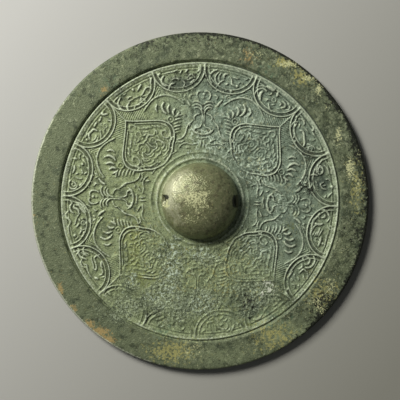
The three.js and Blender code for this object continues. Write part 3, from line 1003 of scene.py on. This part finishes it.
@dataclass
class Weathering:
    """What burial did to the casting: worn ground, crusts, pits and a nibbled edge. Its notes also carry
    painted shade and painted highlights for the finish.
    """

    sizes: MirrorSizes
    sheet: HeightSheet
    rng: np.random.Generator
    notes: dict[Note, np.ndarray] = field(init=False)
    grain_sizes: tuple[float, ...] = (7.0, 2.2, 0.95, 0.5, 1.1)
    worn_depths: tuple[float, float, float] = (0.02, 0.03, 0.06)
    crust_depths: tuple[float, float, float] = (0.03, 0.05, 0.05)
    skin_depths: tuple[float, float, float] = (0.018, 0.012, 0.03)
    crust_rise: float = 0.04
    lace_rise: float = 0.08
    pit_depth: float = 0.25
    wear: float = 0.85
    rim_calm: float = 0.35
    shadow_spread: float = 0.8
    # Where the painted shade in the moat inside the rim step lies, and how wide it is.
    moat_radius: float = 74.6
    moat_reach: float = 0.3
    brink_width: float = 1.6
    margin_width: float = 5.5
    shade_turn: float = 0.35

    def cover(self, note: Note) -> np.ndarray:
        """How strongly the noted kind of patch covers each cell of the sheet."""
        x, y = self.sheet.axis[None, :], self.sheet.axis[:, None]
        return sum(patch.cover(x, y) for patch in PATCHES[note])

    def scattered(self, note: Note, coarse: np.ndarray, share: float, most: float = 1.0) -> np.ndarray:
        """How strongly the noted kind of patch covers each cell once coarse grain has broken it up.

        Args:
            note: The kind of patch.
            coarse: The grain that breaks it up.
            share: How much the grain changes it.
            most: The strongest cover that stays.

        Returns:
            One value for each cell, from 0 to `most`.
        """
        return np.clip(self.cover(note) * (1 + share * coarse), 0, most)

    def height(self) -> np.ndarray:
        """Wears the drawn design down and makes the notes for the finish.

        Returns:
            The finished height of the back over the casting's turned form, in millimetres.
        """
        sheet = self.sheet
        coarse, middling, fine, grit, veins = (sheet.grain(size, self.rng) for size in self.grain_sizes)
        worn = self.scattered(Note.WORN, coarse, 0.35, 0.9)
        crust = self.scattered(Note.CRUST, coarse, 0.3)
        lace = self.scattered(Note.LACE, coarse, 0.4) * np.clip(1.3 - 3.0 * np.abs(veins), 0, 1)
        design = sheet.body + sheet.lines
        beyond = sheet.radius > self.sizes.field_radius
        relief = design * (1 - self.wear * worn)
        relief += worn * mixed(self.worn_depths, middling, fine, grit) + self.lace_rise * lace
        relief += crust * (mixed(self.crust_depths, middling, fine, grit) + self.crust_rise)
        relief += np.where(beyond, self.rim_calm, 1.0) * mixed(self.skin_depths, fine, grit, middling)
        self._note_relief(design, worn, crust, lace)
        self._note_rim_and_knob(beyond)
        return relief - np.clip(fine - 1.7, 0, 1) * self.pit_depth * (0.3 + crust)

    def _note_relief(
        self, design: np.ndarray, worn: np.ndarray, crust: np.ndarray, lace: np.ndarray
    ) -> None:
        """Notes every patch, and the crowns and hollows of the design; the hollows and the moat inside the
        rim get painted shade.

        Args:
            design: The drawn design before wear.
            worn: Cover of worn ground.
            crust: Cover of crust.
            lace: Cover of pale threads.
        """
        hollow_shade = self.sheet.blurred(design, self.shadow_spread) - design
        moat = np.exp(-(((self.sheet.radius - self.moat_radius) / self.moat_reach) ** 2))
        self.notes = {note: self.cover(note) for note in PATCHES}
        self.notes |= {Note.CRUST: crust, Note.LACE: lace, Note.WORN: worn}
        self.notes[Note.CROWN] = np.clip(design / 0.7, 0, 1) * (1 - worn)
        # Painted shade: darker in the design's hollows and in the moat inside the rim step.
        self.notes[Note.HOLLOW_SHADE] = np.clip(hollow_shade * 3.2, 0, 1) * (1 - 0.6 * worn) + 0.6 * moat

    def _note_rim_and_knob(self, beyond: np.ndarray) -> None:
        """Notes the plain rim, its outermost edge and the knob, which have finishes of their own. The edge
        gets painted shade on the side away from the light and a painted highlight on the side towards it.

        Args:
            beyond: True for the cells outside the field.
        """
        sheet, sizes = self.sheet, self.sizes
        # facing is about 1 on the side away from the key light and about -1 on the side towards it.
        facing = np.cos(np.arctan2(sheet.axis[:, None], sheet.axis[None, :]) - self.shade_turn)
        brink = np.clip((sheet.radius - sizes.disc_radius + self.brink_width) / 0.8, 0, 1)
        margin = np.clip((sheet.radius - sizes.disc_radius + self.margin_width) / 4.5, 0, 1)
        # Painted shade: the outer edge and a margin inside it darken on the side away from the light.
        self.notes[Note.DARK_AND_EDGE_SHADE] += (0.8 * brink + 0.42 * margin) * np.clip(0.2 + facing, 0, 1)
        # A pale line along the outer edge on the side towards the light: a painted highlight.
        self.notes[Note.EDGE_HIGHLIGHT] = 1.1 * brink * np.clip(-0.35 - 1.6 * facing, 0, 1)
        self.notes[Note.RIM] = np.where(beyond, 0.92 + 0.1 * facing, 0.0)
        self.notes[Note.KNOB] = np.clip((sizes.knob_radius + 0.6 - sheet.radius) / 1.2, 0, 1)
        self.notes[Note.EVEN] = np.where(beyond, 0.44 + 0.08 * facing, 0.5)


@dataclass
class CastMirror:
    """The mirror's one casting, from the reflecting face underneath to the knob's crown."""

    sizes: MirrorSizes
    sheet: HeightSheet
    weathering: Weathering
    name: str = "cast_mirror"
    spin_steps: int = 360
    knob_spans: int = 20
    knob_squareness: float = 2.3
    knob_smoothing: float = 0.55
    knob_skin: float = 0.93
    back_height: float = 3.0
    edge_width: float = 1.3
    dent_from: float = 0.12
    nibble_from: float = 0.06
    deepest_dent: float = 0.5
    least_rise: float = 1e-6
    arch_points: int = 13
    bore_cuts: int = 35
    triangle_budget: int = 190_000

    def _profile(self) -> list[tuple[float, float]]:
        """The turned form's section, from the middle of the reflecting face round to the knob's crown.

        Returns:
            Rows of radius and height in millimetres, each span to be split in four later.
        """
        s = self.sizes
        # Each corner has the spacing of the rows that follow it.
        corners = [
            ((0.0, 0.0), 15.0),
            ((s.face_flat_radius, 0.0), 9.0),
            ((s.disc_radius - 0.9, s.face_rise - 0.05), 1.0),
            ((s.disc_radius - 0.25, s.face_rise + 0.12), 1.0),
            ((s.disc_radius, s.face_rise + 0.6), 1.1),
            ((s.disc_radius, s.rim_thickness - 1.0), 1.0),
            ((s.disc_radius - 0.22, s.rim_thickness - 0.35), 1.0),
            ((s.disc_radius - 0.8, s.rim_thickness - 0.04), 1.0),
            ((s.disc_radius - 1.2, s.rim_thickness), 1.75),
            ((s.field_radius + s.rim_step_run + 0.25, s.rim_thickness), 0.8),
            ((s.field_radius + s.rim_step_run, s.rim_thickness - 0.12), 0.8),
            ((s.field_radius, s.field_thickness), 1.3),
            ((s.knob_radius, s.field_thickness), 1.3),
        ]
        profile: list[tuple[float, float]] = []
        for (start, spacing), (end, _) in zip(corners, corners[1:]):
            count = max(1, round(math.dist(start, end) / spacing))
            profile += [tuple(a + (b - a) * i / count for a, b in zip(start, end)) for i in range(count)]
        power = 2 / self.knob_squareness
        for climb in np.linspace(0, math.pi / 2, self.knob_spans + 1):
            out, up = abs(math.cos(climb)) ** power, math.sin(climb) ** power
            profile.append((s.knob_radius * out, s.field_thickness + s.knob_height * up))
        profile[-1] = (0.0, profile[-1][1])
        return profile

    def _turned(self) -> bpy.types.Object:
        """Spins the section into a closed body and splits its faces evenly."""
        bm = bmesh.new()
        section = [bm.verts.new((r * MM, 0, z * MM)) for r, z in self._profile()]
        edges = [bm.edges.new(pair) for pair in zip(section, section[1:])]
        bmesh.ops.spin(
            bm,
            geom=[*section, *edges],
            cent=(0, 0, 0),
            axis=(0, 0, 1),
            angle=2 * math.pi,
            steps=self.spin_steps,
            use_merge=True,
        )
        poles = [v for v in bm.verts if math.hypot(v.co.x, v.co.y) < POLE_REACH]
        bmesh.ops.remove_doubles(bm, verts=poles, dist=POLE_REACH)
        bmesh.ops.recalc_face_normals(bm, faces=bm.faces)
        mesh = bpy.data.meshes.new(self.name)
        bm.to_mesh(mesh)
        bm.free()
        body = bpy.data.objects.new(self.name, mesh)
        bpy.context.collection.objects.link(body)
        split = body.modifiers.new("split", "SUBSURF")
        split.subdivision_type = "SIMPLE"
        split.levels = split.render_levels = 2
        self._applied(body)
        return body

    def _dented_knob(self, places: Points, heights: np.ndarray) -> Points:
        """Sets places on the knob's smooth surface and then sinks them where it is dented.

        Args:
            places: Rows of x, y and z near the surface.
            heights: The heights that the dents are read from.

        Returns:
            Rows of x, y and z.
        """
        s, power = self.sizes, self.knob_squareness
        half_axes = np.array([s.knob_radius, s.knob_radius, s.knob_height])
        knob = (places - (0, 0, s.field_thickness)) / half_axes
        out = np.hypot(knob[:, 0], knob[:, 1])
        knob /= ((out**power + np.clip(knob[:, 2], 0, None) ** power) ** (1 / power))[:, None]
        out = np.hypot(knob[:, 0], knob[:, 1]) ** (power - 2)
        steep = np.column_stack([out, out, np.clip(knob[:, 2], self.least_rise, None) ** (power - 2)])
        normal = knob * steep / half_axes
        normal /= np.linalg.norm(normal, axis=1)[:, None]
        sunk = self.sheet.sample(heights, *places[:, :2].T) - self.dent_from
        dent = np.clip(sunk, -self.deepest_dent, 0.0)
        return knob * half_axes + (0, 0, s.field_thickness) + normal * dent[:, None]

    def _press(self, mesh: bpy.types.Mesh) -> None:
        """Presses the relief and the weathering into the turned body."""
        s = self.sizes
        co = np.empty(len(mesh.vertices) * 3)
        mesh.vertices.foreach_get("co", co)
        co = co.reshape(-1, 3) / MM
        radius = np.hypot(co[:, 0], co[:, 1])
        heights = self.weathering.height()
        lift = self.sheet.sample(heights, co[:, 0], co[:, 1])
        on_top = co[:, 2] > self.back_height
        on_knob = on_top & (radius < s.knob_radius + 0.1)
        face = (co[:, 2] < 0.9) & (radius < s.disc_radius - 0.6)
        on_edge = (radius > s.disc_radius - self.edge_width) & ~face
        level = on_top & ~on_knob & (radius < s.disc_radius - self.edge_width)
        co[level, 2] += lift[level]
        smooth = self.sheet.blurred(heights, self.knob_smoothing)
        co[on_knob] = self._dented_knob(co[on_knob], smooth)
        nibble = np.clip(lift[on_edge] - self.nibble_from, -self.deepest_dent, 0.0)
        co[on_edge, :2] *= (1 + nibble / s.disc_radius)[:, None]
        top_edge = on_edge & (co[:, 2] > s.rim_thickness - 0.8)
        co[top_edge, 2] += 0.5 * lift[top_edge]
        mesh.vertices.foreach_set("co", (co * MM).ravel())
        mesh.update()

    def _applied(self, body: bpy.types.Object) -> None:
        """Bakes the body's modifiers into its mesh."""
        evaluated = body.evaluated_get(bpy.context.evaluated_depsgraph_get())
        mesh = bpy.data.meshes.new_from_object(evaluated)
        body.modifiers.clear()
        old, body.data = body.data, mesh
        bpy.data.meshes.remove(old)
        mesh.name = self.name

    def _thin(self, body: bpy.types.Object) -> None:
        """Thins the mesh to its budget, so that flat ground gives its triangles to the relief."""
        triangles = sum(len(p.vertices) - 2 for p in body.data.polygons)
        thin = body.modifiers.new("thin", "DECIMATE")
        thin.ratio = min(1.0, self.triangle_budget / triangles)
        thin.use_collapse_triangulate = True
        self._applied(body)

    def _bore(self, body: bpy.types.Object) -> None:
        """Bores the arched cord hole through the knob."""
        s = self.sizes
        radius = s.hole_width / 2
        wall = s.hole_height - radius
        bm = bmesh.new()
        arch = [(-radius, 0.0), (radius, 0.0)]
        angles = np.linspace(0, math.pi, self.arch_points)
        arch += [(radius * math.cos(a), wall + radius * math.sin(a)) for a in angles]
        length = s.knob_radius + 4
        floor = s.field_thickness + s.hole_lift
        corners = [bm.verts.new((-length * MM, y * MM, (floor + z) * MM)) for y, z in arch]
        mouth = bm.faces.new(corners)
        pushed = bmesh.ops.extrude_face_region(bm, geom=[mouth])["geom"]
        moved = [g for g in pushed if isinstance(g, bmesh.types.BMVert)]
        bmesh.ops.translate(bm, verts=moved, vec=(2 * length * MM, 0, 0))
        lengthwise = [e for e in bm.edges if abs(e.verts[0].co.x - e.verts[1].co.x) > length * MM]
        bmesh.ops.subdivide_edges(bm, edges=lengthwise, cuts=self.bore_cuts)
        bmesh.ops.recalc_face_normals(bm, faces=bm.faces)
        mesh = bpy.data.meshes.new("cord_hole")
        bm.to_mesh(mesh)
        bm.free()
        cutter = bpy.data.objects.new("cord_hole", mesh)
        bpy.context.collection.objects.link(cutter)
        bore = body.modifiers.new("bore", "BOOLEAN")
        bore.operation = "DIFFERENCE"
        bore.solver = "MANIFOLD"
        bore.object = cutter
        self._applied(body)
        bpy.data.objects.remove(cutter)
        bpy.data.meshes.remove(mesh)

    def _note_surface(self, mesh: bpy.types.Mesh) -> None:
        """Notes on each vertex what the finish needs to know, such as how hollow or how crusted it is."""
        co = np.empty(len(mesh.vertices) * 3)
        mesh.vertices.foreach_get("co", co)
        x, y, z = co.reshape(-1, 3).T / MM
        s, power, radius = self.sizes, self.knob_squareness, np.hypot(x, y)
        # The underside and the outer wall aren't under the sheet, so they get one even finish.
        plain = (z < 2.9) | ((radius > s.disc_radius - 0.6) & (z < s.rim_thickness - 0.8))
        plain_values = {Note.RIM: 0.95, Note.EVEN: 0.46}
        # The cord hole's inside and its mouths are darkened: soil, and painted shade where the bore lies in
        # shadow.
        share = np.array([radius / s.knob_radius, np.clip(z - s.field_thickness, 0, None) / s.knob_height])
        bored = (share**power).sum(axis=0) ** (1 / power) < self.knob_skin
        bored &= z > s.field_thickness + 0.8
        for note, values in self.weathering.notes.items():
            seen = self.sheet.sample(values, x, y)
            if note is Note.HOLE_SOIL_AND_SHADE:
                seen = np.where(bored, 1.0, seen)
            seen = np.where(plain, plain_values.get(note, 0.0), seen)
            attribute = mesh.attributes.new(note.value, "FLOAT", "POINT")
            attribute.data.foreach_set("value", seen.astype(np.float32))

    def build(self) -> bpy.types.Object:
        """Makes the casting.

        Returns:
            The finished object, at the origin.
        """
        body = self._turned()
        self._press(body.data)
        self._thin(body)
        self._bore(body)
        mesh = body.data
        mesh.materials.clear()
        mesh.materials.append(PatinatedBronze().material())
        mesh.polygons.foreach_set("material_index", [0] * len(mesh.polygons))
        mesh.polygons.foreach_set("use_smooth", [True] * len(mesh.polygons))
        self._note_surface(mesh)
        log.info("%s: %d triangles", self.name, len(mesh.polygons))
        return body


def linear(hex_colour: str) -> tuple[float, float, float, float]:
    """Turns an sRGB hex colour into a linear one with full alpha."""
    parts = [int(hex_colour[i : i + 2], 16) / 255 for i in (0, 2, 4)]
    return (*(c / 12.92 if c <= 0.04045 else ((c + 0.055) / 1.055) ** 2.4 for c in parts), 1.0)


def add_node(
    tree: bpy.types.NodeTree, kind: str, inputs: dict, output: int | str = 0, **settings: object
) -> bpy.types.NodeSocket:
    """Adds a node to a material with its settings and links.

    Args:
        tree: The material's node tree.
        kind: Blender's name for the node.
        inputs: Values or sockets for its inputs, by name or by number.
        output: The output to give back, by name or by number.
        **settings: Values for the node's own properties.

    Returns:
        The chosen output of the new node.
    """
    node = tree.nodes.new(kind)
    for key, value in settings.items():
        setattr(node, key, value)
    for key, value in inputs.items():
        if isinstance(value, bpy.types.NodeSocket):
            tree.links.new(value, node.inputs[key])
        else:
            node.inputs[key].default_value = value
    return node.outputs[output]


@dataclass(frozen=True)
class Coat:
    """One coat of colour: where it lies, how coarse the grain is that breaks it up, and how strong it is.

    It covers the ground where its note, plus `broken` times a noise about zero, passes from start to full.
    """

    colour: str
    note: Note
    grain: float
    broken: float
    start: float
    full: float
    strength: float
    rough: float = 0.0


@dataclass(frozen=True)
class PatinatedBronze:
    """Cast tin bronze after long burial.

    A thin grey-green patina, yellowish on one half and bluish on the other, has pale mineral crusts, ochre
    soil at the edges and a smooth brown-olive knob. Painted shade darkens the relief's hollows, the cord
    hole and the outer edge away from the light; painted highlights lie on the knob's upper left and the edge
    towards it.
    """

    ground: str = "9aa87e"
    rough: float = 0.54
    metallic: float = 0.3
    noise_step: float = 3.7
    noise_detail: float = 5.0
    noise_roughness: float = 0.6
    bump_detail: float = 4.0
    bumps: tuple[tuple[float, float, float], ...] = (
        (2.6, 0.0004, 0.35),
        (0.9, 0.0003, 0.6),
        (0.45, 0.0002, 0.7),
    )
    coats: tuple[Coat, ...] = (
        Coat("899b88", Note.BLUISH, 14, 0.9, 0.10, 0.95, 0.95),
        Coat("707a5e", Note.RIM, 9, 0.3, 0.40, 0.60, 0.9),
        Coat("3f4935", Note.RIM, 5, 3.2, 0.90, 1.30, 0.8),
        Coat("99a283", Note.RIM, 2.0, 3.2, 1.05, 1.40, 0.65),
        Coat("96a27c", Note.WASH, 3, 1.8, 0.30, 0.90, 0.85),
        Coat("465340", Note.EVEN, 10, 3.4, 0.56, 1.00, 0.6),
        Coat("47543f", Note.EVEN, 3, 3.2, 0.58, 0.95, 0.6),
        Coat("bdc7a2", Note.EVEN, 2.2, 3.2, 0.68, 1.00, 0.55),
        Coat("353e2c", Note.EVEN, 1.0, 3.2, 0.64, 0.95, 0.65),
        Coat("8f9a5c", Note.MOSS, 1.8, 3.0, 0.35, 1.00, 0.65),
        Coat("3a4740", Note.SHADE, 4, 1.4, 0.30, 0.95, 0.75),
        Coat("d6e2c8", Note.CROWN, 1.1, 2.0, 0.40, 1.00, 0.82),
        Coat("414c39", Note.WORN, 1.2, 2.8, 0.60, 1.00, 0.7),
        Coat("c2d1b0", Note.WORN, 0.8, 3.0, 0.80, 1.15, 0.6),
        Coat("d0e2cc", Note.LACE, 0.9, 1.6, 0.28, 0.75, 0.82, 0.1),
        # Painted shade in the design's hollows and the moat inside the rim.
        Coat("1b2017", Note.HOLLOW_SHADE, 1.2, 0.9, 0.32, 0.90, 0.8, 0.1),
        Coat("858862", Note.KNOB, 6, 0.6, 0.40, 0.60, 0.8, -0.3),
        Coat("57543f", Note.KNOB, 2.6, 3.0, 1.00, 1.40, 0.6),
        Coat("aaa682", Note.KNOB, 1.4, 3.0, 1.05, 1.45, 0.55),
        # Painted highlight on the knob's upper left, the side towards the light.
        Coat("d2d4b4", Note.KNOB_HIGHLIGHT, 2.0, 1.4, 0.25, 0.95, 0.8),
        Coat("5f8a70", Note.MALACHITE, 2.5, 1.9, 0.30, 0.90, 0.75, 0.2),
        Coat("b3b06e", Note.DUSTY, 1.4, 3.0, 0.35, 0.85, 0.85, 0.2),
        Coat("b8a068", Note.OCHRE, 1.2, 2.6, 0.30, 0.90, 0.85, 0.2),
        # Dark patina spots, and painted shade along the outer edge on the side away from the light.
        Coat("191d15", Note.DARK_AND_EDGE_SHADE, 1.5, 2.8, 0.34, 0.78, 0.95),
        # Soil and painted shade in the cord hole and its mouths.
        Coat("12150e", Note.HOLE_SOIL_AND_SHADE, 3, 0.5, 0.40, 0.62, 0.95, 0.2),
        Coat("d8dba8", Note.CRUST, 0.9, 3.6, 0.66, 1.00, 0.92, 0.3),
        Coat("e4ebd8", Note.FROST, 1.1, 4.2, 0.80, 1.10, 0.9, 0.2),
        # Painted highlight: a pale line along the outer edge on the side towards the key light.
        Coat("d3d9c4", Note.EDGE_HIGHLIGHT, 1.5, 2.4, 0.50, 0.95, 0.75),
        Coat("d3dcbe", Note.EVEN, 0.8, 3.2, 0.88, 1.16, 0.75, 0.2),
        Coat("1f231b", Note.EVEN, 0.8, 3.2, 0.86, 1.14, 0.75),
    )

    def material(self) -> bpy.types.Material:
        """Builds the finish as a node tree on Object coordinates and the mesh's own notes."""
        # Cast tin bronze, long buried: it looks hardly metallic, satin on the knob and dull where crusted.
        material = bpy.data.materials.new("patinated_bronze")
        material.use_nodes = True
        tree = material.node_tree
        tree.nodes.clear()
        where = add_node(tree, "ShaderNodeTexCoord", {}, "Object")
        colour, rough, dull = linear(self.ground), self.rough, 0.0
        for index, coat in enumerate(self.coats):
            grain = add_node(
                tree,
                "ShaderNodeTexNoise",
                {
                    "W": self.noise_step * index,
                    "Vector": where,
                    "Scale": 1 / MM / coat.grain,
                    "Detail": self.noise_detail,
                    "Roughness": self.noise_roughness,
                },
                "Fac",
                noise_dimensions="4D",
            )
            inputs = {0: grain, 1: coat.broken, 2: -coat.broken / 2}
            broken = add_node(tree, "ShaderNodeMath", inputs, operation="MULTIPLY_ADD")
            note = add_node(tree, "ShaderNodeAttribute", {}, "Fac", attribute_name=coat.note.value)
            summed = add_node(tree, "ShaderNodeMath", {0: note, 1: broken}, operation="ADD")
            inputs = {"Value": summed, "From Min": coat.start, "From Max": coat.full}
            inputs["To Max"] = coat.strength
            cover = add_node(tree, "ShaderNodeMapRange", inputs, interpolation_type="SMOOTHSTEP")
            inputs = {0: cover, 6: colour, 7: linear(coat.colour)}
            colour = add_node(tree, "ShaderNodeMix", inputs, 2, data_type="RGBA")
            if coat.rough:
                inputs = {0: cover, 1: coat.rough, 2: rough}
                rough = add_node(tree, "ShaderNodeMath", inputs, operation="MULTIPLY_ADD")
            if coat.rough > 0:
                dull = add_node(tree, "ShaderNodeMath", {0: cover, 1: dull}, operation="MAXIMUM")
        inputs = {0: dull, 1: -self.metallic, 2: self.metallic}
        metal = add_node(tree, "ShaderNodeMath", inputs, operation="MULTIPLY_ADD")
        # Corrosion grit is about 0.1 mm, too fine to show, so the coarser grains stand for it.
        normal = None
        for grain, depth, strength in self.bumps:
            inputs = {"Vector": where, "Scale": 1 / MM / grain, "Detail": self.bump_detail}
            rise = add_node(tree, "ShaderNodeTexNoise", inputs, "Fac")
            inputs = {"Height": rise, "Strength": strength, "Distance": depth}
            if normal is not None:
                inputs["Normal"] = normal
            normal = add_node(tree, "ShaderNodeBump", inputs)
        inputs = {"Base Color": colour, "Roughness": rough, "Metallic": metal, "Normal": normal}
        shader = add_node(tree, "ShaderNodeBsdfPrincipled", inputs)
        out = tree.nodes.new("ShaderNodeOutputMaterial")
        tree.links.new(shader, out.inputs["Surface"])
        return material


@dataclass
class Studio:
    """The pale floor, the soft light from the upper left and the camera straight above."""

    frame_width: float = 0.21302
    lens: float = 80.0
    sensor: float = 36.0
    rim_height: float = 0.0039
    camera_y: float = 0.00053
    floor_size: float = 3.0
    # The floor's colour runs from pale to deep along falls_towards, a painted light falloff.
    pale: str = "d3d4d2"
    deep: str = "9b9b92"
    falls_towards: tuple[float, float, float] = (0.8, -0.6, 0)
    falls_over: float = 0.14
    surroundings: str = "dfe2e0"
    surroundings_strength: float = 0.07

    def floor(self) -> None:
        """Lays a pale floor whose colour darkens towards the lower right, a painted light falloff."""
        bm = bmesh.new()
        bmesh.ops.create_grid(bm, x_segments=1, y_segments=1, size=self.floor_size)
        mesh = bpy.data.meshes.new("floor")
        bm.to_mesh(mesh)
        bm.free()
        floor = bpy.data.objects.new("floor", mesh)
        bpy.context.collection.objects.link(floor)
        # Matt studio board whose colour darkens from the upper left to the lower right: painted light
        # falloff.
        material = bpy.data.materials.new("board_with_painted_falloff")
        material.use_nodes = True
        tree = material.node_tree
        where = add_node(tree, "ShaderNodeTexCoord", {}, "Object")
        inputs = {0: where, 1: self.falls_towards}
        along = add_node(tree, "ShaderNodeVectorMath", inputs, "Value", operation="DOT_PRODUCT")
        inputs = {"Value": along, "From Min": -self.falls_over, "From Max": self.falls_over}
        share = add_node(tree, "ShaderNodeMapRange", inputs)
        inputs = {0: share, 6: linear(self.pale), 7: linear(self.deep)}
        tone = add_node(tree, "ShaderNodeMix", inputs, 2, data_type="RGBA")
        shader = tree.nodes["Principled BSDF"]
        tree.links.new(tone, shader.inputs["Base Color"])
        shader.inputs["Roughness"].default_value = 0.85
        mesh.materials.append(material)

    def light(self, name: str, place: Sequence[float], size: float, power: float, colour: str) -> None:
        """Hangs a square soft light that faces the mirror.

        Args:
            name: The light's name.
            place: Where it hangs, in metres.
            size: Its side in metres.
            power: Its power in watts.
            colour: Its hex colour.
        """
        lamp = bpy.data.lights.new(name, "AREA")
        lamp.size = size
        lamp.energy = power
        lamp.color = linear(colour)[:3]
        hung = bpy.data.objects.new(name, lamp)
        turn = (-Vector(place)).to_track_quat("-Z", "Y").to_matrix().to_4x4()
        hung.matrix_world = Matrix.Translation(place) @ turn
        bpy.context.collection.objects.link(hung)

    def build(self) -> None:
        """Sets floor, lights, surroundings and camera."""
        self.floor()
        self.light("key_light", (-0.63, 0.59, 0.69), 0.42, 13.4, "fffcf4")
        self.light("fill_light", (0.5, -0.4, 0.7), 0.6, 0.1, "eef2ff")
        world = bpy.data.worlds.new("surroundings")
        world.use_nodes = True
        background = world.node_tree.nodes["Background"]
        background.inputs["Color"].default_value = linear(self.surroundings)
        background.inputs["Strength"].default_value = self.surroundings_strength
        bpy.context.scene.world = world
        bpy.context.scene.view_settings.view_transform = "Standard"
        lens = bpy.data.cameras.new("camera")
        lens.lens, lens.sensor_width = self.lens, self.sensor
        camera = bpy.data.objects.new("camera", lens)
        distance = self.frame_width * self.lens / self.sensor
        camera.location = (0, self.camera_y, distance + self.rim_height)
        bpy.context.collection.objects.link(camera)
        bpy.context.scene.camera = camera


def main() -> None:
    """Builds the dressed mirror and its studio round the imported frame."""
    logging.basicConfig(level=logging.INFO, format="%(name)s: %(message)s")
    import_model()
    sizes = MirrorSizes()
    rng = np.random.default_rng(SEED)
    sheet = HeightSheet()
    ring = LobeRing(sizes, sheet, rng)
    leaves = MaskLeaves(sizes, sheet, rng)
    birds = FacingBirds(sizes, sheet, rng)
    ring.draw()
    leaves.draw()
    birds.draw()
    sheet.circle(sizes.seat_radius, 2.2, 0.5)
    sheet.circle(sizes.neck_radius, 1.1, 0.36)
    Hatching(sizes, sheet, leaves, birds).draw()
    mirror = CastMirror(sizes, sheet, Weathering(sizes, sheet, rng)).build()
    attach(mirror, "root")
    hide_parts(NODE)
    log.info("piece %s rides on root and replaces %s", mirror.name, NODE)
    Studio().build()


if __name__ == "__main__":
    main()
